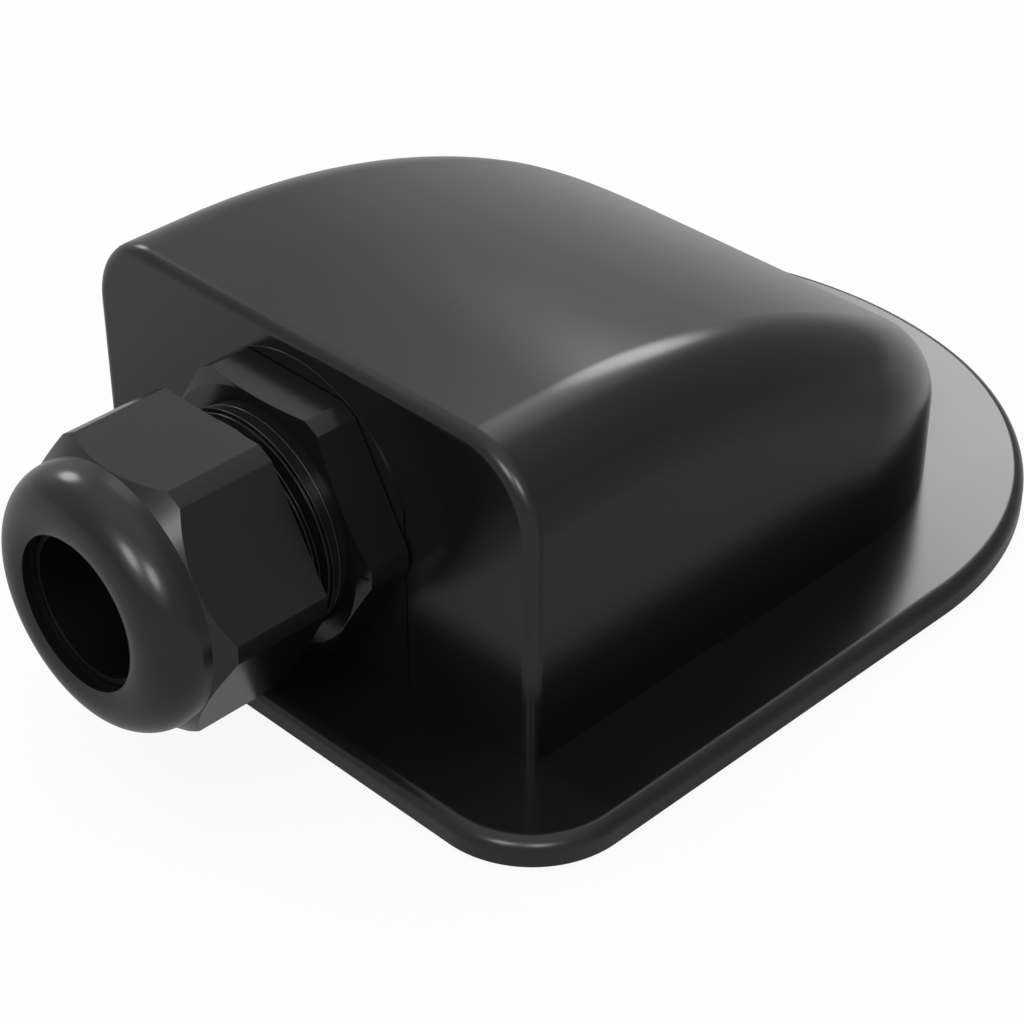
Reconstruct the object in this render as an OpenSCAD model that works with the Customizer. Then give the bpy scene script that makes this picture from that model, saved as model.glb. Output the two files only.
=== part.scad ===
// Solar roof cable entry box: a moulded housing whose flange is bonded to the roof
// over a drilled hole, with a cable gland in its front wall. Sizes in millimetres.
// The origin is on the mounting plane below the middle of the whole part. +Z is up
// and the gland points along -Y.

/* [Box] */
// Width of the box over its side walls
box_w = 61.8; // [58:0.2:68]
// Length of the straight side walls, from the front wall to the round end
box_straight = 48.55; // [42:0.05:56]
// Height of the flat part of the roof above the mounting plane
box_h = 36; // [35.5:0.1:42]
// Length of the flat part of the roof behind the front wall
roof_flat = 9.2; // [6:0.1:18]
// Height at which the roof's sweep meets the round end
tail_h = 7.65; // [6:0.05:12]
// Radius of the round end where it leaves the side walls
end_side_r = 29.05; // [24:0.05:30]
// Radius of the round end across its back
end_rear_r = 35.8; // [33:0.1:60]
// Radius of the shoulder between the roof and the walls
shoulder_r = 8.6; // [7:0.1:10]
// Radius of the edge around the front wall
front_edge_r = 1.45; // [0.8:0.05:2.4]
// Thickness of the moulded wall
wall = 2.5; // [1.6:0.1:3]

/* [Flange] */
// Width of the flange around the box
flange_margin = 10.65; // [8:0.05:16]
// Thickness of the flange
flange_t = 3; // [2.2:0.1:4]
// Radius of the flange's front corners, in plan
flange_corner_r = 10.7; // [6:0.1:20]
// Radius of the flange's upper rim
rim_r = 1.4; // [0.6:0.1:2]

/* [Gland seat] */
// How far the gland's axis lies above the middle between the flange and the roof's underside
gland_lift = 0.35; // [-0.4:0.05:0.8]
// How far the seat's round top reaches past the corners of the gland's hexagon
seat_margin = 0.1; // [0:0.05:0.5]
// How far the seat's straight sides stand outside the flats of the hexagon
seat_side = 0.8; // [0.2:0.1:1.4]
// How far the seat stands out of the front wall
seat_proud = 0.25; // [0.15:0.05:0.8]

/* [Gland body] */
// How far the turned corners of the hexagons stand out past their flats
corner_rise = 1.55; // [0.9:0.05:1.8]
// Thickness of the body's hexagon
body_hex_t = 4.9; // [4:0.1:7]
// Length of the conical chamfer on the front of the body's hexagon
body_chamfer = 0.53; // [0.3:0.01:1]
// How far the crests of the front thread stand out past the claws
thread_rise = 0.95; // [0.5:0.05:1.2]
// Length of the front thread
thread_len = 10; // [8:0.5:12]
// How much smaller the radius of the rear thread is, which passes through the wall
mount_step = 0.65; // [0.4:0.05:1.2]
// How far the rear thread stands out of the locknut
mount_tail = 2.5; // [1:0.5:6]
// Gap around the cable in the passage behind the seal
passage_gap = 0.4; // [0:0.1:1]
// How far the floor of the seal's pocket lies in front of the face of the body's hexagon
pocket_floor = 1.6; // [0.5:0.1:3]
// Length of the clamping claws in front of the thread
claw_len = 4.5; // [3:0.5:6]
// Thickness of the clamping claws
claw_t = 1.6; // [1:0.1:1.7]
// Number of clamping claws
claw_count = 8; // [6:2:12]
// Width of the slots between the claws
claw_slot = 1; // [0.6:0.1:1.6]

/* [Gasket and locknut] */
// Thickness of the gasket
gasket_t = 1; // [0.6:0.1:1.6]
// Width of the gasket's ring
gasket_w = 1.3; // [0.8:0.05:1.6]
// Gap that the squeezed gasket leaves between the hexagon and the seat
hex_gap = 0.27; // [0.1:0.01:0.5]
// Thickness of the locknut
locknut_t = 5; // [3:0.5:8]
// Width of the locknut's ring at the middle of its flats
locknut_w = 1.5; // [1:0.1:2.4]

/* [Dome nut] */
// Thickness of the dome nut's wall at the middle of its flats
nut_wall = 1.45; // [1:0.05:2]
// Gap between the dome nut and the body's hexagon
nut_stand = 4.9; // [3.6:0.1:6]
// How far the nut can be screwed in from there
nut_travel = 3.2; // [1.6:0.1:3.4]
// Length of the nut's hexagon at its corners
nut_hex_len = 10.5; // [10:0.1:14]
// Length of the straight part of the dome
dome_straight = 0.9; // [0.3:0.1:3]
// Radius of the dome's round edge
dome_edge_r = 4.2; // [3.4:0.1:4.6]
// Gap around the cable in the nut's mouth
mouth_gap = 0.65; // [0.5:0.05:1]
// Thickness of the lip inside the mouth
lip_t = 1.5; // [0.8:0.1:1.8]

/* [Seal] */
// Radius of the seal's cable hole
cable_r = 7.2; // [5:0.1:7.4]
// Thickness of the seal
seal_t = 1.7; // [1.2:0.1:2]
// How far the seal's front face lies behind the front of the dome
seal_recess = 1.65; // [1:0.05:2]

/* [Fits] */
// Gap between pieces that move past each other
fit_gap = 0.3; // [0.2:0.05:0.35]
// Gap between a thread and the hole that it passes through
thread_gap = 0.2; // [0.1:0.05:0.4]

/* [Hidden] */
$fn = 96;
// Extra depth of a cut past the face that it opens
past = 1;
// How far the round end stays inside the faces of the straight part
end_relief = 0.04;
// Angle by which the flange's side arcs reach into their neighbours
arc_overlap = 4;
// How far the dome stays inside the flats, so that the chamfer runs out at the middle of each flat
flat_relief = 0.05;
// Steps around a quarter of the round end, and across the shoulder
end_steps = 16;
shoulder_steps = 8;

// Box and roof
half_w = box_w / 2;
end_y = box_straight;
// Centres of the round end's side and rear arcs, which meet at a common tangent
side_x = half_w - end_side_r;
rear_gap = end_rear_r - end_side_r;
rear_centre_y = end_y - sqrt(rear_gap * rear_gap - side_x * side_x);
meet_bearing = acos(side_x / rear_gap);
rear_y = rear_centre_y + end_rear_r;
roof_drop = box_h - tail_h;
roof_run = rear_y - roof_flat;
// Radius of the sweep in whole microns, so that the sweep meets the flat roof exactly
roof_r = round(1000 * (roof_run * roof_run + roof_drop * roof_drop) / (2 * roof_drop)) / 1000;
roof_axis_z = box_h - roof_r;
// Path of a ball of the shoulder's radius that rolls along under the roof and inside the wall
ball_x = half_w - shoulder_r;
ball_reach = roof_r - shoulder_r;
// How far the round end reaches into the straight part
end_overlap = 0.6 * shoulder_r;

// Point of the round end's plan at a bearing, set in from its face
function end_point(bearing, inset) =
  bearing < meet_bearing
    ? [side_x, end_y] + (end_side_r - inset) * [cos(bearing), sin(bearing)]
    : [0, rear_centre_y] + (end_rear_r - inset) * [cos(bearing), sin(bearing)];

// Flange
flange_half_w = half_w + flange_margin;
corner_x = flange_half_w - flange_corner_r;
corner_y = flange_corner_r - flange_margin;

// Radii around the gland's axis, from the cable outwards
mouth_r = cable_r + mouth_gap;
passage_r = cable_r + passage_gap;
seal_r = cable_r + seal_t;
seal_nose_r = mouth_r - fit_gap;
pocket_r = seal_r + fit_gap;
claw_r = pocket_r + claw_t;
cavity_r = claw_r + fit_gap;
thread_r = claw_r + thread_rise;
nut_thread_r = thread_r + fit_gap;
mount_r = thread_r - mount_step;
hole_r = mount_r + thread_gap;
gasket_r = hole_r + gasket_w;
// Half of the size across the flats, of the two outer hexagons and of the locknut
flat_r = nut_thread_r + nut_wall;
locknut_flat_r = hole_r + locknut_w;
hex_turned_r = flat_r + corner_rise;
dome_r = flat_r - flat_relief;

// Gland seat, with the gland between the flange and the roof
gland_z = (flange_t + box_h - wall) / 2 + gland_lift;
seat_r = hex_turned_r + seat_margin;
seat_half_w = flat_r + seat_side;

// Places along the gland's axis, counted outwards from the front wall
gasket_s = seat_proud + gasket_t;
hex_s = seat_proud + hex_gap;
face_s = hex_s + body_hex_t;
pocket_s = face_s + pocket_floor;
thread_s = face_s + thread_len;
claw_s = thread_s + claw_len;
mount_s = -wall - locknut_t - mount_tail;
nut_s = face_s + nut_stand;
nut_corner_s = nut_s + nut_hex_len;
nut_cone_s = nut_corner_s + hex_turned_r - dome_r;
dome_s = nut_cone_s + dome_straight;
nut_front_s = dome_s + dome_edge_r;
nut_thread_s = thread_s + nut_travel + fit_gap;
cavity_s = claw_s + nut_travel + fit_gap;
lip_s = cavity_s + lip_t;
seal_front_s = nut_front_s - seal_recess;
seal_back_s = pocket_s + nut_travel + fit_gap;
seal_shoulder_s = cavity_s + fit_gap;
seal_nose_s = lip_s - fit_gap;

// Middle of the whole part, from the dome nut's front to the flange's round end
middle_y = (rear_y + flange_margin - nut_front_s) / 2;

// Plastic and rubber, as the photograph shows them
shell_black = [0.09, 0.09, 0.095];
gland_black = [0.12, 0.12, 0.125];
rubber_black = [0.06, 0.06, 0.065];

// Puts what is drawn from the front wall into the part's own frame
module in_frame() {
  translate([0, -middle_y, 0]) children();
}

// Stands a turned piece on the gland's axis, with its own Z pointing out of the box
module on_gland_axis() {
  in_frame() translate([0, 0, gland_z]) rotate([90, 0, 0]) children();
}

// Draws a section of the box, in X and Z, along Y from start to stop
module along_box(start, stop) {
  translate([0, stop, 0]) rotate([90, 0, 0]) linear_extrude(stop - start) children();
}

// Front section of the box, set in from its faces: walls, flat roof and round shoulders
module box_section(inset, base) {
  translate([-ball_x, base]) square([2 * ball_x, box_h - inset - base]);
  translate([-half_w + inset, base]) square([2 * (half_w - inset), box_h - shoulder_r - base]);
  for (side = [-1, 1])
    translate([side * ball_x, box_h - shoulder_r]) circle(shoulder_r - inset);
}

// The same section, measured from the axis of the roof's sweep
module sweep_section(inset) {
  translate([0, -ball_x]) square([roof_r - inset, 2 * ball_x]);
  translate([0, -half_w + inset]) square([ball_reach, 2 * (half_w - inset)]);
  for (side = [-1, 1])
    translate([ball_reach, side * ball_x]) circle(shoulder_r - inset);
}

// Straight-sided stretch under the sweep of the roof
module swept_box(inset, base) {
  intersection() {
    translate([0, roof_flat, roof_axis_z])
      rotate([0, -90, 0]) rotate_extrude(angle = 90) sweep_section(inset);
    translate([-half_w, roof_flat, base]) cube([box_w, end_y - roof_flat, box_h - base]);
  }
}

// Directions from the ball's centre, turned evenly from the wall's normal to the roof's
function turned(from, to, share) =
  let (angle = acos(from * to))
  (from * sin((1 - share) * angle) + to * sin(share * angle)) / sin(angle);

// One rib of the round end: a point at the base, then points up the wall and over the shoulder
function end_rib(bearing, shift, reach, base) =
  let (
    wall_normal = [cos(bearing), sin(bearing), 0],
    path = end_point(bearing, shoulder_r) - [0, shift],
    tilt = asin((path[1] - roof_flat) / ball_reach),
    roof_normal = [0, sin(tilt), cos(tilt)],
    ball = [path[0], path[1], roof_axis_z + ball_reach * cos(tilt)],
    foot = ball + reach * wall_normal
  )
  concat(
    [[foot[0], foot[1], base]],
    [for (i = [0:shoulder_steps]) ball + reach * turned(wall_normal, roof_normal, i / shoulder_steps)]
  );

// Round end of the box: ribs around the end, with the roof ruled between them from side to side
module round_end(inset, base) {
  reach = shoulder_r - inset - end_relief;
  stations = concat([[0, end_overlap]], [for (i = [0:end_steps]) [90 * i / end_steps, 0]]);
  ribs = [for (s = stations) end_rib(s[0], s[1], reach, base)];
  last = len(ribs) - 1;
  per_rib = shoulder_steps + 2;
  top = per_rib - 1;
  right = [for (rib = ribs) each rib];
  left = [for (i = [0:last - 1]) each [for (p = ribs[i]) [-p[0], p[1], p[2]]]];
  function r(i, j) = i * per_rib + j;
  function l(i, j) = i == last ? r(i, j) : len(right) + i * per_rib + j;
  side_faces = [
    for (i = [0:last - 1], j = [0:top - 1])
      each [[r(i, j), r(i, j + 1), r(i + 1, j + 1), r(i + 1, j)],
            [l(i, j), l(i + 1, j), l(i + 1, j + 1), l(i, j + 1)]]
  ];
  roof_faces = concat(
    [for (i = [0:last - 2]) [l(i, top), l(i + 1, top), r(i + 1, top), r(i, top)]],
    [[l(last - 1, top), r(last, top), r(last - 1, top)]]
  );
  base_face = concat([for (i = [0:last]) r(i, 0)], [for (i = [last - 1:-1:0]) l(i, 0)]);
  front_loop = concat([for (j = [0:top]) l(0, j)], [for (j = [top:-1:0]) r(0, j)]);
  hub = [0, end_y - end_overlap, (base + tail_h) / 2];
  hub_index = len(right) + len(left);
  front_faces = [
    for (k = [0:len(front_loop) - 1])
      [hub_index, front_loop[k], front_loop[(k + 1) % len(front_loop)]]
  ];
  polyhedron(
    concat(right, left, [hub]),
    concat(side_faces, roof_faces, [base_face], front_faces)
  );
}

// The box from a plane behind its front wall to its round end, set in from its faces
module box_form(inset, base, start) {
  along_box(start, roof_flat) box_section(inset, base);
  swept_box(inset, base);
  round_end(inset, base);
}

// Section of an edge of the front wall: its outer front corner is round
module edge_section() {
  intersection() {
    square([shoulder_r, front_edge_r]);
    union() {
      square([shoulder_r - front_edge_r, front_edge_r]);
      translate([shoulder_r - front_edge_r, front_edge_r]) circle(front_edge_r);
    }
  }
}

// Front of the box, with the round edge up its sides, around its corners and along its top
module front_edge() {
  low = box_h - shoulder_r;
  translate([-ball_x, 0, 0]) cube([2 * ball_x, front_edge_r, low]);
  translate([-ball_x, 0, low])
    rotate([90, 0, 90]) linear_extrude(2 * ball_x) mirror([1, -1]) edge_section();
  for (side = [0, 1]) mirror([side, 0, 0]) {
    translate([ball_x, 0, 0]) linear_extrude(low) edge_section();
    translate([ball_x, 0, low])
      rotate([90, 0, 0]) rotate_extrude(angle = 90) mirror([0, 1]) edge_section();
  }
}

// Section of the flange from its middle to its round upper rim, set in from its faces
module rim_section(reach, inset = 0) {
  square([reach - rim_r, flange_t - inset]);
  square([reach - inset, flange_t - rim_r]);
  translate([reach - rim_r, flange_t - rim_r]) circle(rim_r - inset);
}

// Flange: straight front and sides, round front corners and an end that follows the box. The arcs
// beside the end stay a hair inside their neighbours and reach into both
module flange() {
  translate([0, rear_centre_y, 0]) rotate([0, 0, meet_bearing])
    rotate_extrude(angle = 180 - 2 * meet_bearing) rim_section(end_rear_r + flange_margin);
  translate([-corner_x, corner_y, 0])
    rotate([90, 0, 90]) linear_extrude(2 * corner_x) mirror([1, 0]) rim_section(flange_corner_r);
  for (side = [0, 1]) mirror([side, 0, 0]) {
    along_box(corner_y, end_y) rim_section(flange_half_w);
    translate([side_x, end_y, 0]) rotate([0, 0, -arc_overlap])
      rotate_extrude(angle = meet_bearing + 2 * arc_overlap)
        rim_section(end_side_r + flange_margin, end_relief);
    translate([corner_x, corner_y, 0])
      rotate([0, 0, -90]) rotate_extrude(angle = 90) rim_section(flange_corner_r);
  }
}

// Raised seat for the gland: a round top on straight sides that run down to the flange
module seat() {
  along_box(-seat_proud, wall / 2) intersection() {
    union() {
      translate([0, gland_z]) circle(seat_r);
      translate([-seat_r, 0]) square([2 * seat_r, gland_z]);
    }
    translate([-seat_half_w, 0]) square([2 * seat_half_w, box_h]);
  }
}

// Turned hexagon: a hexagonal bar that the turning profile cuts to shape
module turned_hexagon(flats, from, to) {
  intersection() {
    translate([0, 0, from]) cylinder(r = flats / cos(30), h = to - from, $fn = 6);
    rotate_extrude() children();
  }
}

// Plain ring on the gland's axis
module ring(inner, outer, from, to) {
  rotate_extrude() translate([inner, from]) square([outer - inner, to - from]);
}

module housing() {
  color(shell_black)
  difference() {
    in_frame() {
      flange();
      front_edge();
      box_form(0, 0, front_edge_r);
      seat();
    }
    in_frame() box_form(wall, -past, wall);
    on_gland_axis() translate([0, 0, -wall - past])
      cylinder(r = hole_r, h = wall + seat_proud + 2 * past);
  }
}

module gland_body() {
  color(gland_black)
  on_gland_axis() difference() {
    union() {
      turned_hexagon(flat_r, hex_s, face_s) polygon([
        [0, hex_s], [hex_turned_r, hex_s], [hex_turned_r, face_s - body_chamfer],
        [dome_r, face_s], [0, face_s]
      ]);
      rotate_extrude() polygon([
        [0, mount_s], [mount_r, mount_s], [mount_r, gasket_s], [thread_r, gasket_s],
        [thread_r, thread_s], [claw_r, thread_s], [claw_r, claw_s], [0, claw_s]
      ]);
    }
    ring(mount_r, gasket_r + thread_gap, hex_s - past, gasket_s);
    rotate_extrude() polygon([
      [0, mount_s - past], [passage_r, mount_s - past], [passage_r, pocket_s],
      [pocket_r, pocket_s], [pocket_r, claw_s + past], [0, claw_s + past]
    ]);
    for (i = [0:claw_count / 2 - 1])
      rotate(i * 360 / claw_count) translate([-claw_r - past, -claw_slot / 2, thread_s])
        cube([2 * (claw_r + past), claw_slot, claw_len + past]);
  }
}

module gland_gasket() {
  color(rubber_black)
  on_gland_axis() ring(mount_r + thread_gap, gasket_r, seat_proud, gasket_s);
}

module gland_locknut() {
  color(gland_black)
  on_gland_axis() difference() {
    turned_hexagon(locknut_flat_r, -wall - locknut_t, -wall)
      translate([0, -wall - locknut_t]) square([locknut_flat_r + corner_rise, locknut_t]);
    translate([0, 0, -wall - locknut_t - past]) cylinder(r = hole_r, h = locknut_t + 2 * past);
  }
}

module sealing_insert() {
  color(rubber_black)
  on_gland_axis() rotate_extrude() polygon([
    [cable_r, seal_back_s], [seal_r, seal_back_s], [seal_r, seal_shoulder_s],
    [seal_nose_r, seal_nose_s], [seal_nose_r, seal_front_s], [cable_r, seal_front_s]
  ]);
}

module dome_nut() {
  color(gland_black)
  on_gland_axis() difference() {
    turned_hexagon(flat_r, nut_s, nut_front_s + past) {
      polygon([
        [0, nut_s], [hex_turned_r, nut_s], [hex_turned_r, nut_corner_s],
        [dome_r, nut_cone_s], [dome_r, dome_s], [0, dome_s]
      ]);
      translate([dome_r - dome_edge_r, dome_s]) circle(dome_edge_r);
    }
    rotate_extrude() polygon([
      [0, nut_s - past], [nut_thread_r, nut_s - past], [nut_thread_r, nut_thread_s],
      [cavity_r, nut_thread_s + nut_thread_r - cavity_r], [cavity_r, cavity_s],
      [mouth_r, lip_s], [mouth_r, nut_front_s + past], [0, nut_front_s + past]
    ]);
  }
}

housing();
gland_body();
gland_gasket();
gland_locknut();
sealing_insert();
dome_nut();
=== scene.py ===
"""Looks of a solar roof cable entry box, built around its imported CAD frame.

Lengths are in millimetres and y is counted from the front wall, as in the part's source.
Skin.make() turns them into metres of the shared frame.
"""

import math

import bpy
import numpy as np
from mathutils import Matrix, Vector


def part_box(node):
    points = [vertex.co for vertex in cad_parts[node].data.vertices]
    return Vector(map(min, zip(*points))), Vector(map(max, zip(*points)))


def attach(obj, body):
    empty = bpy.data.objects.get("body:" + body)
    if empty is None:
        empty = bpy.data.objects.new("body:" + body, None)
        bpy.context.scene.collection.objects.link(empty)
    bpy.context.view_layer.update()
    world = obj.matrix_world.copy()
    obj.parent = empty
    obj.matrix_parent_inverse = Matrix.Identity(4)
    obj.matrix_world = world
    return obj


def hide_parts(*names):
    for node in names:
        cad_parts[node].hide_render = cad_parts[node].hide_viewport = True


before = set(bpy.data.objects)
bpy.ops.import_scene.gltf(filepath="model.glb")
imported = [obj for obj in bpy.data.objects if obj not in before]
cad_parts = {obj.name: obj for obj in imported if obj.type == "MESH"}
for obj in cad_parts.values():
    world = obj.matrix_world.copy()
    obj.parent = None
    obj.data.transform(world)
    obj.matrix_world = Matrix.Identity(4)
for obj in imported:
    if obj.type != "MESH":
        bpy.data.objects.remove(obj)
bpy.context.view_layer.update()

MM = 0.001

# Box
HALF_W = 30.9
END_Y = 48.55
BOX_H = 36.0
ROOF_FLAT = 9.2
TAIL_H = 7.65
END_SIDE_R = 29.05
END_REAR_R = 35.8
SHOULDER_R = 8.6
FRONT_EDGE_R = 1.45
WALL = 2.5

# Flange
FLANGE_MARGIN = 10.65
FLANGE_T = 3.0
FLANGE_CORNER_R = 10.7
RIM_R = 1.4
FOOT_R = 0.15

# Gland seat
GLAND_Z = 18.6
SEAT_R = 15.15
SEAT_HALF_W = 14.3
SEAT_PROUD = 0.14
SEAT_EDGE_R = 0.07
SEAT_EDGE_START = math.radians(35)
SEAT_EDGE_FADE = math.radians(30)
GROOVE_W = 0.16
GROOVE_DEPTH = 0.2
HOLE_R = 11.3

# Gland, from the axis outwards and from the front wall outwards
FLAT_R = 13.5
DOME_R = 13.45
TURNED_R = 15.05
THREAD_R = 11.75
MOUNT_R = 11.1
CLAW_R = 10.8
POCKET_R = 9.2
PASSAGE_R = 7.6
GASKET_POCKET_R = 12.8
HEX_S = 0.27
GASKET_S = 1.25
CHAMFER_S = 4.89
FACE_S = 5.42
POCKET_S = 7.02
THREAD_S = 15.42
CLAW_S = 19.92
MOUNT_S = -10.0
CLAW_COUNT = 8
CLAW_SLOT = 1.0
CLAW_EDGE_R = 0.3
PASSAGE_EDGE_R = 0.2
MOUNT_EDGE_R = 0.3
MOUNT_CHAMFER = 0.6
MOUNT_LEAD = 0.5
LOCKNUT_FLAT_R = 12.8
LOCKNUT_TURNED_R = 14.35
LOCKNUT_T = 5.0
LOCKNUT_CHAMFER = 0.4
LOCKNUT_FACE_R = LOCKNUT_FLAT_R - 0.05

# Dome nut
NUT_S = 10.32
NUT_CORNER_S = 20.82
NUT_CONE_S = 22.42
DOME_S = 23.32
DOME_EDGE_R = 4.2
NUT_THREAD_R = 12.05
NUT_THREAD_S = 18.92
CAVITY_R = 11.1
CAVITY_S = 23.42
LIP_S = 24.92
MOUTH_R = 7.85

# Sealing insert
CABLE_R = 7.2
SEAL_R = 8.9
SEAL_BACK_S = 10.52
SEAL_SHOULDER_S = 23.72
SEAL_NOSE_S = 24.62
SEAL_NOSE_R = 7.8
SEAL_FRONT_S = 25.87
SEAL_SEAM_S = SEAL_BACK_S + 5
SEAL_BACK_EDGE_R = 0.3
SEAL_NOSE_EDGE_R = 0.2
SEAL_FRONT_EDGE_R = 0.1

# Thread shown between the body's hexagon and the dome nut
PITCH = 1.6
MOUNT_PITCH = 1.5
THREAD_DEPTH = 1.75
ROOT_S = 0.95
CREST_W = 0.16
FLANK_W = 0.08
LEDGE_DEPTH = 0.42
LEDGE_W = 0.14
CREST_EDGE_R = 0.05
NECK_R = 11.3
NECK_EDGE_R = 0.12
THREAD_FRONT_S = 6.67
THREAD_START = math.radians(-100)

# Where the front wall stands in the shared frame, from the flange's front edge
FRONT_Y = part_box("housing")[0].y / MM + FLANGE_MARGIN

# Arcs of the round end and the roof's sweep
SIDE_X = HALF_W - END_SIDE_R
REAR_GAP = END_REAR_R - END_SIDE_R
REAR_CENTRE_Y = END_Y - math.sqrt(REAR_GAP**2 - SIDE_X**2)
MEET = math.acos(SIDE_X / REAR_GAP)
REAR_Y = REAR_CENTRE_Y + END_REAR_R
ROOF_DROP = BOX_H - TAIL_H
ROOF_R = ((REAR_Y - ROOF_FLAT) ** 2 + ROOF_DROP**2) / (2 * ROOF_DROP)
ROOF_AXIS_Z = BOX_H - ROOF_R
BALL_X = HALF_W - SHOULDER_R
BALL_REACH = ROOF_R - SHOULDER_R
FLANGE_HALF_W = HALF_W + FLANGE_MARGIN

# Fineness of the housing's mesh
SHOULDER_STEPS = 16
END_STEPS = 72
EDGE_STEPS = 10
ROOF_STEPS = 8


class Skin:
    """Collects sheets of points with exact normals, and makes one smooth mesh of them."""

    def __init__(self):
        self.points = []
        self.normals = []
        self.faces = []

    def sheet(self, points, normals, outside=None):
        """Adds rows of points as quads, without those that have all their corners outside."""
        points = np.asarray(points, float)
        normals = np.broadcast_to(np.asarray(normals, float), points.shape)
        rows, columns = points.shape[:2]
        base = len(self.points)
        self.points.extend(points.reshape(-1, 3))
        self.normals.extend(normals.reshape(-1, 3))
        for i in range(rows - 1):
            for j in range(columns - 1):
                if outside is not None and outside[i:i + 2, j:j + 2].all():
                    continue
                low = base + i * columns + j
                high = low + columns
                self.faces.append([low, low + 1, high + 1, high])

    def flat(self, outline, normal):
        """Adds one flat face."""
        base = len(self.points)
        self.points.extend(np.asarray(outline, float))
        self.normals.extend([np.asarray(normal, float)] * len(outline))
        self.faces.append(list(range(base, base + len(outline))))

    def make(self, name, material):
        """Welds the points, turns each face to its normals and returns the object."""
        points = np.array(self.points)
        normals = np.array(self.normals)
        places, index = np.unique(np.round(points, 4), axis=0, return_inverse=True)
        index = index.ravel()
        faces = []
        corner_normals = []
        for face in self.faces:
            ring = [c for c, d in zip(face, face[1:] + face[:1]) if index[c] != index[d]]
            if len({index[c] for c in ring}) < 3:
                continue
            corners = points[ring]
            area = np.cross(corners, np.roll(corners, -1, axis=0)).sum(axis=0)
            if area @ normals[ring].sum(axis=0) < 0:
                ring = ring[::-1]
            faces.append([int(index[c]) for c in ring])
            corner_normals.extend(normals[ring])
        mesh = bpy.data.meshes.new(name)
        mesh.from_pydata((places + (0, FRONT_Y, 0)) * MM, [], faces)
        mesh.shade_smooth()
        mesh.normals_split_custom_set(corner_normals)
        mesh.materials.append(material)
        piece = bpy.data.objects.new(name, mesh)
        bpy.context.scene.collection.objects.link(piece)
        return piece


def mirrored(points):
    """The same points on the other side of the part's middle plane."""
    return np.asarray(points) * (-1, 1, 1)


def unit_arc(start, stop, steps):
    """Directions in a plane, turned evenly from one angle to another."""
    angles = np.linspace(start, stop, steps + 1)
    return np.stack([np.cos(angles), np.sin(angles)], axis=1)


# Housing


def end_point(bearing, inset):
    """Point of the round end's plan at a bearing, set in from its face."""
    direction = np.array([math.cos(bearing), math.sin(bearing)])
    if bearing < MEET:
        return np.array([SIDE_X, END_Y]) + (END_SIDE_R - inset) * direction
    return np.array([0, REAR_CENTRE_Y]) + (END_REAR_R - inset) * direction


def rib_stations(start):
    """Plan points of the ball's path and their bearings, along the side and round to the rear."""
    flat = np.linspace(start, ROOF_FLAT, 3)
    swept = np.linspace(ROOF_FLAT, END_Y, 33)[1:]
    straight = [(np.array([BALL_X, y]), 0.0) for y in np.concatenate([flat, swept])]
    bearings = np.linspace(0, math.pi / 2, END_STEPS + 1)[1:]
    return straight + [(end_point(b, SHOULDER_R), b) for b in bearings]


def rib(path, bearing, inset, base):
    """Points and normals up the wall and over the shoulder, and the roof's normal there."""
    tilt = math.asin(max(0.0, path[1] - ROOF_FLAT) / BALL_REACH)
    height = BOX_H - SHOULDER_R if tilt == 0 else ROOF_AXIS_Z + BALL_REACH * math.cos(tilt)
    ball = np.array([path[0], path[1], height])
    wall_normal = np.array([math.cos(bearing), math.sin(bearing), 0])
    roof_normal = np.array([0, math.sin(tilt), math.cos(tilt)])
    reach = SHOULDER_R - inset
    bend = math.acos(wall_normal @ roof_normal)
    shares = np.linspace(0, 1, SHOULDER_STEPS + 1)[:, None]
    over = wall_normal * np.sin((1 - shares) * bend) + roof_normal * np.sin(shares * bend)
    over = over / math.sin(bend)
    foot = ball + reach * wall_normal
    foot[2] = base
    points = np.vstack([foot, ball + reach * over])
    normals = np.vstack([wall_normal, over])
    return points, normals, roof_normal


def box_skin(skin, inset, base, start, facing):
    """Walls, shoulders and roof of the box; facing is 1 outside and -1 inside."""
    points = []
    normals = []
    roof = []
    roof_normals = []
    for path, bearing in rib_stations(start):
        rib_points, rib_normals, roof_normal = rib(path, bearing, inset, base)
        points.append(rib_points)
        normals.append(rib_normals)
        roof.append(np.linspace(rib_points[-1], mirrored(rib_points[-1]), ROOF_STEPS + 1))
        roof_normals.append([roof_normal] * (ROOF_STEPS + 1))
    skin.sheet(points, facing * np.array(normals))
    skin.sheet(mirrored(points), facing * mirrored(normals))
    skin.sheet(roof, facing * np.array(roof_normals))


def section_outline(inset, base):
    """Front section of the box from the right foot over the roof to the left: points and normals."""
    reach = SHOULDER_R - inset
    arc = unit_arc(0, math.pi / 2, SHOULDER_STEPS)
    right = np.array([BALL_X, BOX_H - SHOULDER_R]) + reach * arc
    points = np.vstack([[BALL_X + reach, base], right])
    normals = np.vstack([[1, 0], arc])
    flip = np.array([-1, 1])
    return np.vstack([points, points[::-1] * flip]), np.vstack([normals, normals[::-1] * flip])


def upright(points, y):
    """Section points stood up at a distance behind the front wall."""
    points = np.asarray(points)
    return np.stack([points[:, 0], np.full(len(points), y), points[:, 1]], axis=1)


def seat_arch():
    """Angles over the round top of the gland's seat, and its edge radius, which fades to sharp ends."""
    meet = math.acos(SEAT_HALF_W / SEAT_R)
    angles = np.linspace(math.pi - meet, meet, 49)
    from_end = math.pi / 2 - meet - np.abs(angles - math.pi / 2)
    return angles, SEAT_EDGE_R * np.clip((from_end - SEAT_EDGE_START) / SEAT_EDGE_FADE, 0, 1)


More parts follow.
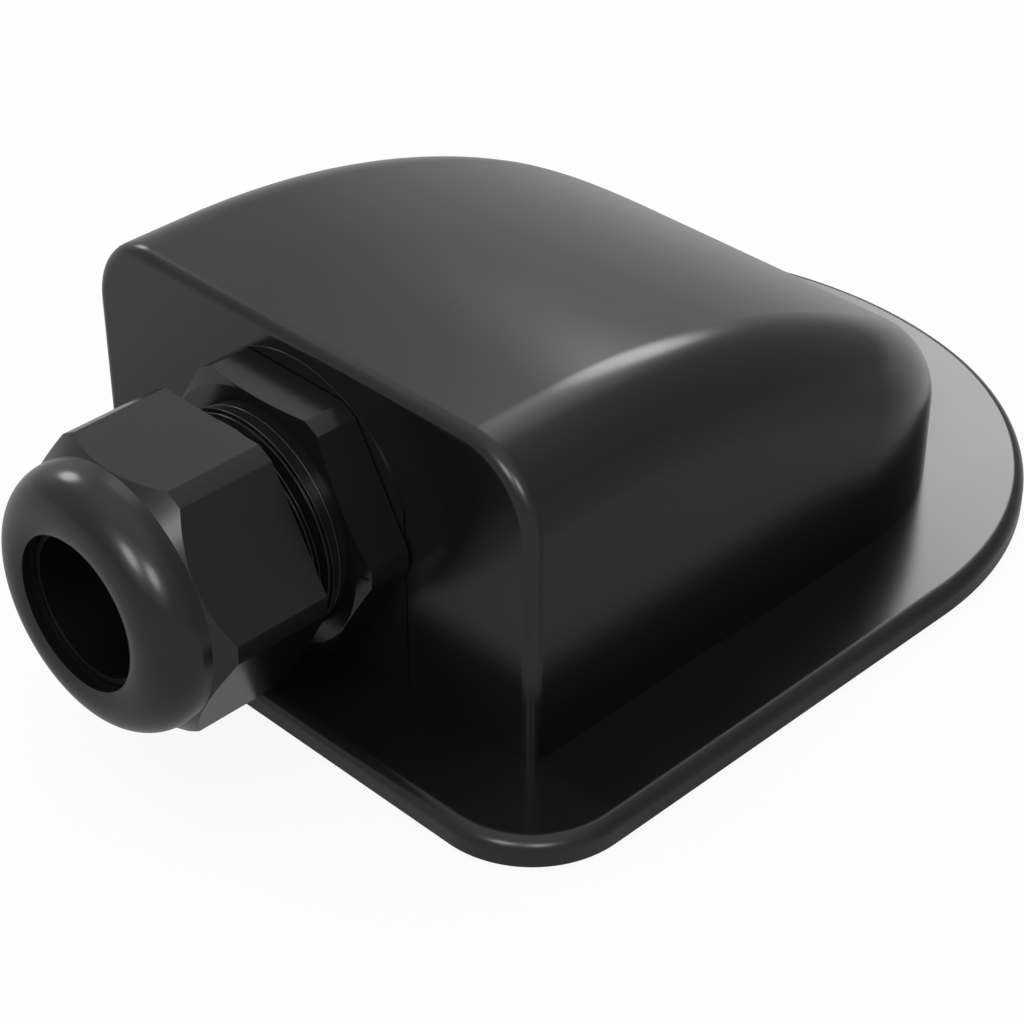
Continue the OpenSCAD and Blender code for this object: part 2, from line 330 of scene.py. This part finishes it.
def plate_with_hole(skin, outline, y, normal):
    """Upright plate with the gland's hole, as two halves; the outline starts at its top middle."""
    around = [0, GLAND_Z] + HOLE_R * unit_arc(-math.pi / 2, math.pi / 2, 48)
    right = np.vstack([outline, around])
    skin.flat(upright(right, y), normal)
    skin.flat(mirrored(upright(right, y)), normal)


def front_wall(skin):
    """Round edge, face and seat of the front wall, and the gland's hole."""
    outline, normals = section_outline(0, FLANGE_T)
    inner = outline - FRONT_EDGE_R * normals
    edge_points = []
    edge_normals = []
    for c, s in unit_arc(0, math.pi / 2, EDGE_STEPS):
        edge_points.append(upright(inner + FRONT_EDGE_R * s * normals, FRONT_EDGE_R * (1 - c)))
        edge_normals.append(upright(s * normals, -c))
    skin.sheet(edge_points, edge_normals)
    angles, edge = seat_arch()
    rows = [on_axis(SEAT_R, angles, 0)]
    row_normals = [off_axis(1, angles, 0)]
    for c, s in unit_arc(0, math.pi / 2, 4):
        rows.append(on_axis(SEAT_R - edge * (1 - c), angles, SEAT_PROUD - edge * (1 - s)))
        row_normals.append(off_axis(c, angles, s))
    skin.sheet(rows, row_normals)
    arch = rows[0][:, [0, 2]]
    arch_z = arch[0][1]
    groove_x = SEAT_HALF_W + GROOVE_W
    left = [[-groove_x, FLANGE_T], [-groove_x, arch_z]]
    right = [[groove_x, arch_z], [groove_x, FLANGE_T]]
    skin.flat(upright(np.vstack([inner, left, arch, right]), 0), (0, -1, 0))
    middle = len(angles) // 2
    face = np.vstack([rows[-1][middle:, [0, 2]], [[SEAT_HALF_W, FLANGE_T], [0, FLANGE_T]]])
    plate_with_hole(skin, face, -SEAT_PROUD, (0, -1, 0))
    for side in (-1, 1):
        seat_side = side * SEAT_HALF_W
        wall_side = side * groove_x
        across = [
            (seat_side, -SEAT_PROUD),
            (seat_side, GROOVE_DEPTH),
            (wall_side, GROOVE_DEPTH),
            (wall_side, 0),
        ]
        facing = [(side, 0, 0), (0, -1, 0), (-side, 0, 0)]
        for start, stop, normal in zip(across, across[1:], facing):
            strip = [[(x, y, FLANGE_T), (x, y, arch_z)] for x, y in (start, stop)]
            skin.sheet(strip, normal)
        top = [(x, y, arch_z) for x, y in across[1:]] + [(seat_side, 0, arch_z)]
        skin.flat(top, (0, 0, -1))
    ring = unit_arc(0, 2 * math.pi, 96)
    rim = [0, GLAND_Z] + HOLE_R * ring
    inward = upright(-ring, 0)
    skin.sheet([upright(rim, -SEAT_PROUD), upright(rim, WALL)], [inward, inward])


def flange_outline():
    """Plan of the flange's right half, from the front middle to the rear middle, and its normals."""
    corner = unit_arc(-math.pi / 2, 0, 24)
    side = unit_arc(0, MEET, 48)
    rear = unit_arc(MEET, math.pi / 2, 16)
    corner_x = FLANGE_HALF_W - FLANGE_CORNER_R
    corner_y = FLANGE_CORNER_R - FLANGE_MARGIN
    points = np.vstack([
        [0, -FLANGE_MARGIN],
        [corner_x, corner_y] + FLANGE_CORNER_R * corner,
        [SIDE_X, END_Y] + (END_SIDE_R + FLANGE_MARGIN) * side,
        [0, REAR_CENTRE_Y] + (END_REAR_R + FLANGE_MARGIN) * rear[1:],
    ])
    return points, np.vstack([[0, -1], corner, side, rear[1:]])


def level(points, z):
    """Plan points at a height."""
    points = np.asarray(points)
    return np.column_stack([points, np.full(len(points), z)])


def flange_skin(skin):
    """Rim, top and underside of the flange."""
    outline, normals = flange_outline()
    top_arc = unit_arc(math.pi / 2, 0, 12)
    foot_arc = unit_arc(0, -math.pi / 2, 4)
    profile = [(RIM_R * (c - 1), FLANGE_T + RIM_R * (s - 1), c, s) for c, s in top_arc]
    profile += [(FOOT_R * (c - 1), FOOT_R * (1 + s), c, s) for c, s in foot_arc]
    points = [level(outline + out * normals, z) for out, z, c, s in profile]
    facing = [level(c * normals, s) for out, z, c, s in profile]
    skin.sheet(points, facing)
    skin.sheet(mirrored(points), mirrored(facing))
    bearings = np.linspace(math.pi / 2, 0, END_STEPS + 1)
    corner = unit_arc(0, -math.pi / 2, EDGE_STEPS)
    box_plan = np.vstack([
        [end_point(b, 0) for b in bearings],
        [HALF_W - FRONT_EDGE_R, FRONT_EDGE_R] + FRONT_EDGE_R * corner,
        [[SEAT_HALF_W, 0], [SEAT_HALF_W, -SEAT_PROUD], [0, -SEAT_PROUD]],
    ])
    cavity_plan = np.vstack([
        [end_point(b, WALL) for b in bearings],
        [[HALF_W - WALL, WALL], [0, WALL]],
    ])
    for plan, edge, up in ((box_plan, points[0], 1), (cavity_plan, points[-1], -1)):
        half = np.vstack([edge, level(plan, edge[0][2])])
        skin.flat(half, (0, 0, up))
        skin.flat(mirrored(half), (0, 0, up))


def make_housing(material):
    skin = Skin()
    box_skin(skin, 0, FLANGE_T, FRONT_EDGE_R, 1)
    box_skin(skin, WALL, 0, WALL, -1)
    front_wall(skin)
    flange_skin(skin)
    outline = section_outline(WALL, 0)[0]
    top = len(outline) // 2
    half = np.vstack([[0, BOX_H - WALL], outline[:top][::-1], [0, 0]])
    plate_with_hole(skin, half, WALL, (0, 1, 0))
    return skin.make("housing_shell", material)


# Turned pieces on the gland's axis


def on_axis(radius, angle, out):
    """Point at a radius and angle around the gland's axis, so far out of the front wall."""
    return np.stack(np.broadcast_arrays(
        radius * np.cos(angle), -np.asarray(out, float), GLAND_Z + radius * np.sin(angle)
    ), axis=-1)


def off_axis(radial, angle, outward):
    """Normal with a radial and an outward part, at an angle around the gland's axis."""
    return np.stack(np.broadcast_arrays(
        radial * np.cos(angle), -np.asarray(outward, float), radial * np.sin(angle)
    ), axis=-1)


def rounded(corners):
    """Strokes along a profile of (radius, out, edge radius) corners, its material on the left.

    Each stroke is a smooth run of (radius, out, radial normal, outward normal).
    """
    places = np.array([c[:2] for c in corners], float)
    strokes = []
    stroke = []
    start = places[0]
    for i in range(1, len(corners)):
        along = places[i] - places[i - 1]
        along = along / np.linalg.norm(along)
        normal = np.array([along[1], -along[0]])
        edge = corners[i][2] if i + 1 < len(corners) else 0
        if edge:
            onward = places[i + 1] - places[i]
            onward = onward / np.linalg.norm(onward)
            next_normal = np.array([onward[1], -onward[0]])
            bend = math.acos(np.clip(normal @ next_normal, -1, 1))
            back = edge * math.tan(bend / 2)
            stop = places[i] - back * along
            stroke += [(*start, *normal), (*stop, *normal)]
            side = 1 if along[0] * onward[1] - along[1] * onward[0] > 0 else -1
            centre = stop - side * edge * normal
            for share in np.linspace(0, 1, 7)[1:]:
                swing = normal * math.sin((1 - share) * bend) + next_normal * math.sin(share * bend)
                swing = swing / math.sin(bend)
                stroke.append((*(centre + side * edge * swing), *swing))
            start = places[i] + back * onward
        else:
            stroke += [(*start, *normal), (*places[i], *normal)]
            strokes.append(stroke)
            stroke = []
            start = places[i]
    return strokes


def revolve(skin, strokes, first=0.0, last=2 * math.pi, steps=128):
    """Turns strokes of a profile around the gland's axis."""
    angles = np.linspace(first, last, steps + 1)
    for stroke in strokes:
        radius, out, radial, outward = np.array(stroke).T[:, :, None]
        skin.sheet(on_axis(radius, angles, out), off_axis(radial, angles, outward))


def hexagon(skin, flat, turned, back, corner, end, end_r, inner):
    """Hexagon from a flat back to a cone that runs from its turned corners to a circle."""
    reach = math.acos(flat / turned)
    cone = np.array([end - corner, turned - end_r])
    cone = cone / np.linalg.norm(cone)
    for side in range(6):
        middle = math.radians(30 + 60 * side)
        flat_turns = np.linspace(-reach, reach, 33)
        corner_turns = np.linspace(reach, math.pi / 3 - reach, 7)
        for turns, is_flat in ((flat_turns, True), (corner_turns, False)):
            angles = middle + turns
            radius = flat / np.cos(turns) if is_flat else np.full(len(turns), turned)
            front = corner + (turned - radius) / (turned - end_r) * (end - corner)
            facing = np.full(len(turns), middle) if is_flat else angles
            wall = [on_axis(radius, angles, back), on_axis(radius, angles, front)]
            skin.sheet(wall, [off_axis(1, facing, 0)] * 2)
            slope = [on_axis(radius, angles, front), on_axis(end_r, angles, end)]
            skin.sheet(slope, [off_axis(cone[0], angles, cone[1])] * 2)
            rear = [on_axis(inner, angles, back), on_axis(radius, angles, back)]
            skin.sheet(rear, off_axis(0, 0, -1))


def ridge(crest, pitch):
    """Corners of one pitch of thread, root to root: a narrow crest, a ledge and a slope in front.

    Out is counted from the crest's front.
    """
    root = crest - THREAD_DEPTH
    ledge = crest - LEDGE_DEPTH
    return [
        (root, ROOT_S - pitch, 0),
        (crest, -CREST_W, CREST_EDGE_R),
        (crest, 0, CREST_EDGE_R),
        (ledge, FLANK_W, CREST_EDGE_R),
        (ledge, FLANK_W + LEDGE_W, CREST_EDGE_R),
        (root, ROOT_S, 0),
    ]


def wind(skin, corners, pitch, front, first, last):
    """Winds a profile one right-hand turn around the gland's axis, kept between two places."""
    angles = np.linspace(THREAD_START, THREAD_START + 2 * math.pi, 145)
    climb = front + pitch * angles / (2 * math.pi)
    for stroke in rounded(corners):
        radius, offset, radial, outward = np.array(stroke).T[:, :, None]
        out = climb + offset
        outside = (out < first) | (out > last)
        points = on_axis(radius, angles, np.clip(out, first, last))
        skin.sheet(points, off_axis(radial, angles, outward), outside)


def cable_thread(skin):
    """Thread in front of the body's hexagon, with a smooth neck behind its first ridge."""
    neck_s = FACE_S + NECK_EDGE_R
    revolve(skin, rounded([(DOME_R, FACE_S, 0), (NECK_R, FACE_S, NECK_EDGE_R), (NECK_R, neck_s, 0)]))
    neck = [(NECK_R, -2 * PITCH, 0), (NECK_R, -CREST_W, 0)]
    wind(skin, neck, PITCH, THREAD_FRONT_S, neck_s, THREAD_S)
    corners = ridge(THREAD_R, PITCH)
    for front in np.arange(THREAD_FRONT_S, THREAD_S + PITCH, PITCH):
        wind(skin, corners, PITCH, front, neck_s, THREAD_S)
    start_s = THREAD_FRONT_S + PITCH * THREAD_START / (2 * math.pi)
    along = np.array([-math.sin(THREAD_START), 0, math.cos(THREAD_START)])
    skin.flat([on_axis(radius, THREAD_START, start_s + out) for radius, out, edge in corners], -along)
    root = THREAD_R - THREAD_DEPTH
    step = [(NECK_R, 0), (NECK_R, PITCH), (root, PITCH), (root, 0)]
    skin.flat([on_axis(radius, THREAD_START, start_s + out) for radius, out in step], along)


def claws(skin):
    """Ring of clamping claws in front of the thread."""
    share = 2 * math.pi / CLAW_COUNT
    middle_r = (CLAW_R + POCKET_R) / 2
    half_slot = CLAW_SLOT / 2 / middle_r
    profile = [
        (CLAW_R, THREAD_S, 0),
        (CLAW_R, CLAW_S, CLAW_EDGE_R),
        (POCKET_R, CLAW_S, CLAW_EDGE_R),
        (POCKET_R, THREAD_S, 0),
    ]
    for i in range(CLAW_COUNT):
        first = i * share + half_slot
        last = (i + 1) * share - half_slot
        revolve(skin, rounded(profile), first, last, 16)
        for angle, way in ((first, -1), (last, 1)):
            side = way * np.array([-math.sin(angle), 0, math.cos(angle)])
            cheek = [on_axis(radius, angle, out) for radius, out, edge in profile]
            skin.flat(cheek, side)


def make_gland_body(material):
    skin = Skin()
    hexagon(skin, FLAT_R, TURNED_R, HEX_S, CHAMFER_S, FACE_S, DOME_R, GASKET_POCKET_R)
    cable_thread(skin)
    revolve(skin, rounded([(THREAD_R, THREAD_S, 0), (POCKET_R, THREAD_S, 0)]))
    claws(skin)
    revolve(skin, rounded([
        (POCKET_R, THREAD_S, 0),
        (POCKET_R, POCKET_S, 0),
        (PASSAGE_R, POCKET_S, PASSAGE_EDGE_R),
        (PASSAGE_R, MOUNT_S, MOUNT_EDGE_R),
        (MOUNT_R - MOUNT_CHAMFER, MOUNT_S, MOUNT_EDGE_R),
        (MOUNT_R - MOUNT_CHAMFER / 2, MOUNT_S + MOUNT_CHAMFER, 0),
    ]))
    first = MOUNT_S + MOUNT_LEAD
    for front in np.arange(first, GASKET_S + MOUNT_PITCH, MOUNT_PITCH):
        wind(skin, ridge(MOUNT_R, MOUNT_PITCH), MOUNT_PITCH, front, first, GASKET_S)
    revolve(skin, rounded([
        (MOUNT_R - THREAD_DEPTH, GASKET_S, 0),
        (GASKET_POCKET_R, GASKET_S, 0),
        (GASKET_POCKET_R, HEX_S, 0),
    ]))
    return skin.make("gland_body_threaded", material)


def make_dome_nut(material):
    skin = Skin()
    hexagon(skin, FLAT_R, TURNED_R, NUT_S, NUT_CORNER_S, NUT_CONE_S, DOME_R, NUT_THREAD_R)
    centre_r = DOME_R - DOME_EDGE_R
    mouth_turn = math.acos((MOUTH_R - centre_r) / DOME_EDGE_R)
    dome = [(DOME_R, NUT_CONE_S, 1, 0)]
    for c, s in unit_arc(0, mouth_turn, 40):
        dome.append((centre_r + DOME_EDGE_R * c, DOME_S + DOME_EDGE_R * s, c, s))
    revolve(skin, [dome])
    mouth_s = dome[-1][1]
    revolve(skin, rounded([
        (MOUTH_R, mouth_s, 0),
        (MOUTH_R, LIP_S, 0),
        (CAVITY_R, CAVITY_S, 0),
        (CAVITY_R, NUT_THREAD_S + NUT_THREAD_R - CAVITY_R, 0),
        (NUT_THREAD_R, NUT_THREAD_S, 0),
        (NUT_THREAD_R, NUT_S, 0),
    ]))
    return skin.make("dome_nut_turned", material)


def make_seal(material):
    skin = Skin()
    strokes = rounded([
        (CABLE_R, SEAL_SEAM_S, 0),
        (CABLE_R, SEAL_BACK_S, SEAL_BACK_EDGE_R),
        (SEAL_R, SEAL_BACK_S, SEAL_BACK_EDGE_R),
        (SEAL_R, SEAL_SHOULDER_S, SEAL_NOSE_EDGE_R),
        (SEAL_NOSE_R, SEAL_NOSE_S, SEAL_NOSE_EDGE_R),
        (SEAL_NOSE_R, SEAL_FRONT_S, SEAL_FRONT_EDGE_R),
        (CABLE_R, SEAL_FRONT_S, SEAL_FRONT_EDGE_R),
        (CABLE_R, SEAL_SEAM_S, 0),
    ])
    revolve(skin, strokes)
    return skin.make("sealing_sleeve", material)


def make_locknut(material):
    skin = Skin()
    back = -WALL - LOCKNUT_T
    corner = -WALL - LOCKNUT_CHAMFER
    hexagon(skin, LOCKNUT_FLAT_R, LOCKNUT_TURNED_R, back, corner, -WALL, LOCKNUT_FACE_R, HOLE_R)
    revolve(skin, rounded([(LOCKNUT_FACE_R, -WALL, 0), (HOLE_R, -WALL, 0), (HOLE_R, back, 0)]))
    return skin.make("locknut_hexagon", material)


# Materials


def add(tree, kind, sockets=None, **settings):
    """Adds a shader node; each socket takes a value or the output of another node."""
    node = tree.nodes.new("ShaderNode" + kind)
    for name, value in settings.items():
        setattr(node, name, value)
    for name, value in (sockets or {}).items():
        if isinstance(value, bpy.types.NodeSocket):
            tree.links.new(value, node.inputs[name])
        else:
            node.inputs[name].default_value = value
    return node


def grey(value):
    return (value, value, value, 1)


GLOSS_SPREAD = 0.02
MOTTLE_SCALE = 90
# Share of the shell's colour against the height of its side walls: painted shade, darker down to the
# flange
PAINTED_FOOT_SHADES = ((FLANGE_T, 1), (FLANGE_T + 0.02, 0.1), (8, 0.45), (14, 1))


def painted_foot_shade(tree, place):
    """Share of the colour that the shell's side walls and round end show: painted shade that darkens
    them down to the flange, not on the front wall.
    """
    split = add(tree, "SeparateXYZ", {"Vector": place})
    rise = add(tree, "MapRange", {"Value": split.outputs["Z"], "From Max": BOX_H * MM})
    shades = add(tree, "ValToRGB", {"Fac": rise.outputs["Result"]})
    steps = shades.color_ramp.elements
    for step, (height, share) in zip(steps, (PAINTED_FOOT_SHADES[0], PAINTED_FOOT_SHADES[-1])):
        step.position = height / BOX_H
        step.color = grey(share)
    for height, share in PAINTED_FOOT_SHADES[1:-1]:
        steps.new(height / BOX_H).color = grey(share)
    behind = add(tree, "MapRange", {
        "Value": split.outputs["Y"],
        "From Min": FRONT_Y * MM,
        "From Max": (FRONT_Y + FRONT_EDGE_R) * MM,
    })
    share = add(tree, "Mix", {"Factor": behind.outputs["Result"], "A": 1, "B": shades.outputs["Color"]})
    return share.outputs["Result"]


def plastic(name, dark, light, roughness, shine, grain, depth, with_painted_foot_shade=False):
    """Moulded black plastic: faint mottling, a fine spark-eroded grain and uneven gloss, and on request
    painted shade at the foot of the side walls.
    """
    material = bpy.data.materials.new(name)
    material.use_nodes = True
    tree = material.node_tree
    tree.nodes.clear()
    place = add(tree, "TexCoord").outputs["Object"]
    mottle = add(tree, "TexNoise", {"Vector": place, "Scale": MOTTLE_SCALE, "Detail": 4}).outputs["Fac"]
    colour = add(tree, "Mix", {"Factor": mottle}, data_type="RGBA")
    colour.inputs["A"].default_value = grey(dark)
    colour.inputs["B"].default_value = grey(light)
    shown = colour.outputs["Result"]
    if with_painted_foot_shade:
        # painted shade: the side walls' colour darkens towards the flange
        share = painted_foot_shade(tree, place)
        shown = add(tree, "VectorMath", {0: shown, "Scale": share}, operation="SCALE").outputs[0]
    gloss = add(tree, "MapRange", {
        "Value": mottle, "To Min": roughness - GLOSS_SPREAD, "To Max": roughness + GLOSS_SPREAD,
    })
    speck = add(tree, "TexNoise", {"Vector": place, "Scale": grain, "Detail": 3}).outputs["Fac"]
    bump = add(tree, "Bump", {"Height": speck, "Strength": 1, "Distance": depth})
    shader = add(tree, "BsdfPrincipled", {
        "Base Color": shown,
        "Roughness": gloss.outputs["Result"],
        "Normal": bump.outputs["Normal"],
        "IOR": 1.5,
        "Specular IOR Level": shine,
    })
    add(tree, "OutputMaterial", {"Surface": shader.outputs["BSDF"]})
    return material


shell = plastic(
    "shell_plastic", dark=0.0045, light=0.0065, roughness=0.22, shine=0.5, grain=4500, depth=0.3e-6,
    with_painted_foot_shade=True,
)
gland = plastic(
    "gland_plastic", dark=0.0045, light=0.0065, roughness=0.2, shine=0.5, grain=5500, depth=0.3e-6,
)
rubber = plastic(
    "seal_rubber", dark=0.0012, light=0.0024, roughness=0.55, shine=0.15, grain=3500, depth=3e-6,
)

# Pieces on their bodies

pieces = [
    (make_housing(shell), "box", "housing", "shell"),
    (make_gland_body(gland), "box", "gland_body", "gland"),
    (make_locknut(gland), "box", "gland_locknut", "gland"),
    (make_seal(rubber), "seal", "sealing_insert", "rubber"),
    (make_dome_nut(gland), "nut", "dome_nut", "gland"),
]
for piece, body, node, slot in pieces:
    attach(piece, body)
    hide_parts(node)
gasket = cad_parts["gland_gasket"]
gasket.data.materials.clear()
gasket.data.materials.append(rubber)

# Camera at the photograph's viewpoint

CAMERA_TARGET = Vector((8.647, -10.933, 10.876)) * MM
CAMERA_DISTANCE = 269.755 * MM
CAMERA_AZIMUTH = math.radians(45.196)
CAMERA_ELEVATION = math.radians(35.116)
CAMERA_ROLL = math.radians(-0.096)
CAMERA_LENS = 95.076
CAMERA_SENSOR = 36
CAMERA_NEAR = 10 * MM


def look_back(azimuth, elevation):
    """Direction from the part towards a viewer."""
    flat = math.cos(elevation)
    return Vector((math.sin(azimuth) * flat, -math.cos(azimuth) * flat, math.sin(elevation)))


def make_camera():
    data = bpy.data.cameras.new("camera")
    data.lens = CAMERA_LENS
    data.sensor_width = CAMERA_SENSOR
    data.clip_start = CAMERA_NEAR
    camera = bpy.data.objects.new("camera", data)
    back = look_back(CAMERA_AZIMUTH, CAMERA_ELEVATION)
    turn_to = back.to_track_quat("Z", "Y").to_matrix() @ Matrix.Rotation(CAMERA_ROLL, 3, "Z")
    camera.location = CAMERA_TARGET + back * CAMERA_DISTANCE
    camera.rotation_euler = turn_to.to_euler()
    bpy.context.scene.collection.objects.link(camera)
    bpy.context.scene.camera = camera


make_camera()

# Floor and light

# Level of the studio's dome against the sine of the elevation
DOME_LEVELS = ((-1, 0.5), (-0.3, 0.46), (0.0, 0.46), (0.5, 0.54), (0.8, 0.79), (1, 1.05))
# Darker side of the dome: bearing, elevation, reach and soft edge in degrees, and level
SHADE = (24, 20, 33, 33, 0.62)
# Round soft lights and their glow: bearing, elevation, radius and soft edge in degrees, and level
LIGHTS = (
    (-90, 31.5, 8.3, 1.5, 6.2),
    (-30, 30.8, 8.5, 1.5, 5.8),
    (128, 32.5, 8.8, 1.5, 5.7),
    (163.5, 34, 9, 1.5, 6),
    (-84, 28, 18, 12, 0.3),
    (-29, 46, 12, 10, 0.9),
    (128, 32.5, 17, 10, 0.6),
    (163.5, 34, 17, 10, 0.7),
    (-38, -2, 14, 10, 0.12),
)
# Half the floor's side, and how far it lies below the part
FLOOR_HALF = 4.0
FLOOR_DROP = 0.2 * MM
# Floor's colour to the camera, and to light that it throws back on the part
FLOOR_WHITE = 0.85
FLOOR_BOUNCE = 0.45
# Share of the floor that glows to the camera and in reflections; the rest is lit and shows the shadow
FLOOR_SHARE = 0.9
# Level of the floor's glow in reflections: painted shade near the part's front, rising outwards
SHADED_FRONT_LEVEL = 0.36
FLOOR_LEVEL = 0.6
FRONT_MIDDLE = Vector((-12, -33, 0)) * MM
FRONT_REACH = (8 * MM, 78 * MM)
# Painted shade on one side of it: apex, then bearing, half width and soft edge in degrees, and level
SIDE_APEX = Vector((6, -28, 0)) * MM
SIDE_BEARING = 55
SIDE_HALF_WIDTH = 35
SIDE_EDGE = 10
SHADED_SIDE_LEVEL = 0.34


def compass(bearing, elevation):
    """Direction at a bearing from +Y towards +X and an elevation, both in degrees."""
    a = math.radians(bearing)
    e = math.radians(elevation)
    return Vector((math.sin(a) * math.cos(e), math.cos(a) * math.cos(e), math.sin(e)))


def cone(tree, direction, bearing, elevation, reach, edge, inside=1, outside=0):
    """Value inside a cone of directions, fading over a soft edge to the value outside."""
    aim = compass(bearing, elevation)
    towards = add(tree, "VectorMath", {0: direction, 1: aim}, operation="DOT_PRODUCT")
    fade = add(tree, "MapRange", {
        "Value": towards.outputs["Value"],
        "From Min": math.cos(math.radians(reach + edge)),
        "From Max": math.cos(math.radians(reach - edge)),
        "To Min": outside,
        "To Max": inside,
    }, interpolation_type="SMOOTHSTEP")
    return fade.outputs["Result"]


def make_floor():
    """Pale floor that shows as white and keeps a soft shadow of the part; in reflections its glow
    carries painted shade near the part's front and to one side.
    """
    mesh = bpy.data.meshes.new("floor")
    ends = ((-1, -1), (1, -1), (1, 1), (-1, 1))
    corners = [(x * FLOOR_HALF, y * FLOOR_HALF, -FLOOR_DROP) for x, y in ends]
    mesh.from_pydata(corners, [], [(0, 1, 2, 3)])
    floor = bpy.data.objects.new("floor", mesh)
    bpy.context.scene.collection.objects.link(floor)
    material = bpy.data.materials.new("floor_white")
    material.use_nodes = True
    tree = material.node_tree
    tree.nodes.clear()
    path = add(tree, "LightPath").outputs
    reflected = add(tree, "Math", {
        0: path["Is Glossy Ray"], 1: path["Is Transmission Ray"],
    }, operation="MAXIMUM")
    seen = add(tree, "Math", {0: path["Is Camera Ray"], 1: reflected.outputs[0]}, operation="MAXIMUM")
    share = add(tree, "Math", {0: seen.outputs[0], 1: FLOOR_SHARE}, operation="MULTIPLY")
    # painted shade in the floor's glow seen in reflections: darker near the part's front and on one side
    place = add(tree, "NewGeometry").outputs["Position"]
    away = add(tree, "VectorMath", {0: place, 1: FRONT_MIDDLE}, operation="DISTANCE")
    front = add(tree, "MapRange", {
        "Value": away.outputs["Value"],
        "From Min": FRONT_REACH[0],
        "From Max": FRONT_REACH[1],
        "To Min": SHADED_FRONT_LEVEL,
        "To Max": FLOOR_LEVEL,
    }, interpolation_type="SMOOTHSTEP")
    from_apex = add(tree, "VectorMath", {0: place, 1: SIDE_APEX}, operation="SUBTRACT")
    towards = add(tree, "VectorMath", {0: from_apex.outputs["Vector"]}, operation="NORMALIZE")
    inside = cone(tree, towards.outputs["Vector"], SIDE_BEARING, 0, SIDE_HALF_WIDTH, SIDE_EDGE)
    shaded_level = add(tree, "Mix", {"Factor": inside, "A": front.outputs["Result"], "B": SHADED_SIDE_LEVEL})
    strength = add(tree, "Mix", {
        "Factor": reflected.outputs[0], "A": 1, "B": shaded_level.outputs["Result"],
    })
    glow = add(tree, "Emission", {"Strength": strength.outputs["Result"]})
    colour = add(tree, "Mix", {"Factor": path["Is Camera Ray"]}, data_type="RGBA")
    colour.inputs["A"].default_value = grey(FLOOR_BOUNCE)
    colour.inputs["B"].default_value = grey(FLOOR_WHITE)
    diffuse = add(tree, "BsdfDiffuse", {"Color": colour.outputs["Result"]})
    mix = add(tree, "MixShader", {0: share.outputs[0], 1: diffuse.outputs[0], 2: glow.outputs[0]})
    add(tree, "OutputMaterial", {"Surface": mix.outputs[0]})
    mesh.materials.append(material)


def make_world():
    """Studio dome with round soft lights, paler overhead and darker on one side; white to the camera."""
    world = bpy.data.worlds.new("studio")
    world.use_nodes = True
    tree = world.node_tree
    tree.nodes.clear()
    direction = add(tree, "TexCoord").outputs["Generated"]
    split = add(tree, "SeparateXYZ", {"Vector": direction})
    height = add(tree, "MapRange", {"Value": split.outputs["Z"], "From Min": -1})
    dome = add(tree, "ValToRGB", {"Fac": height.outputs["Result"]})
    dome.color_ramp.interpolation = "B_SPLINE"
    steps = dome.color_ramp.elements
    steps[0].color = grey(DOME_LEVELS[0][1])
    steps[1].color = grey(DOME_LEVELS[-1][1])
    for sine, value in DOME_LEVELS[1:-1]:
        steps.new((sine + 1) / 2).color = grey(value)
    shade = cone(tree, direction, *SHADE, outside=1)
    total = add(tree, "Math", {0: dome.outputs["Color"], 1: shade}, operation="MULTIPLY").outputs[0]
    for light in LIGHTS:
        glow = cone(tree, direction, *light)
        total = add(tree, "Math", {0: total, 1: glow}, operation="ADD").outputs[0]
    path = add(tree, "LightPath").outputs
    strength = add(tree, "Mix", {"Factor": path["Is Camera Ray"], "A": total, "B": 1})
    background = add(tree, "Background", {"Color": grey(1), "Strength": strength.outputs["Result"]})
    add(tree, "OutputWorld", {"Surface": background.outputs[0]})
    bpy.context.scene.world = world


make_floor()
make_world()
bpy.context.scene.view_settings.view_transform = "Standard"
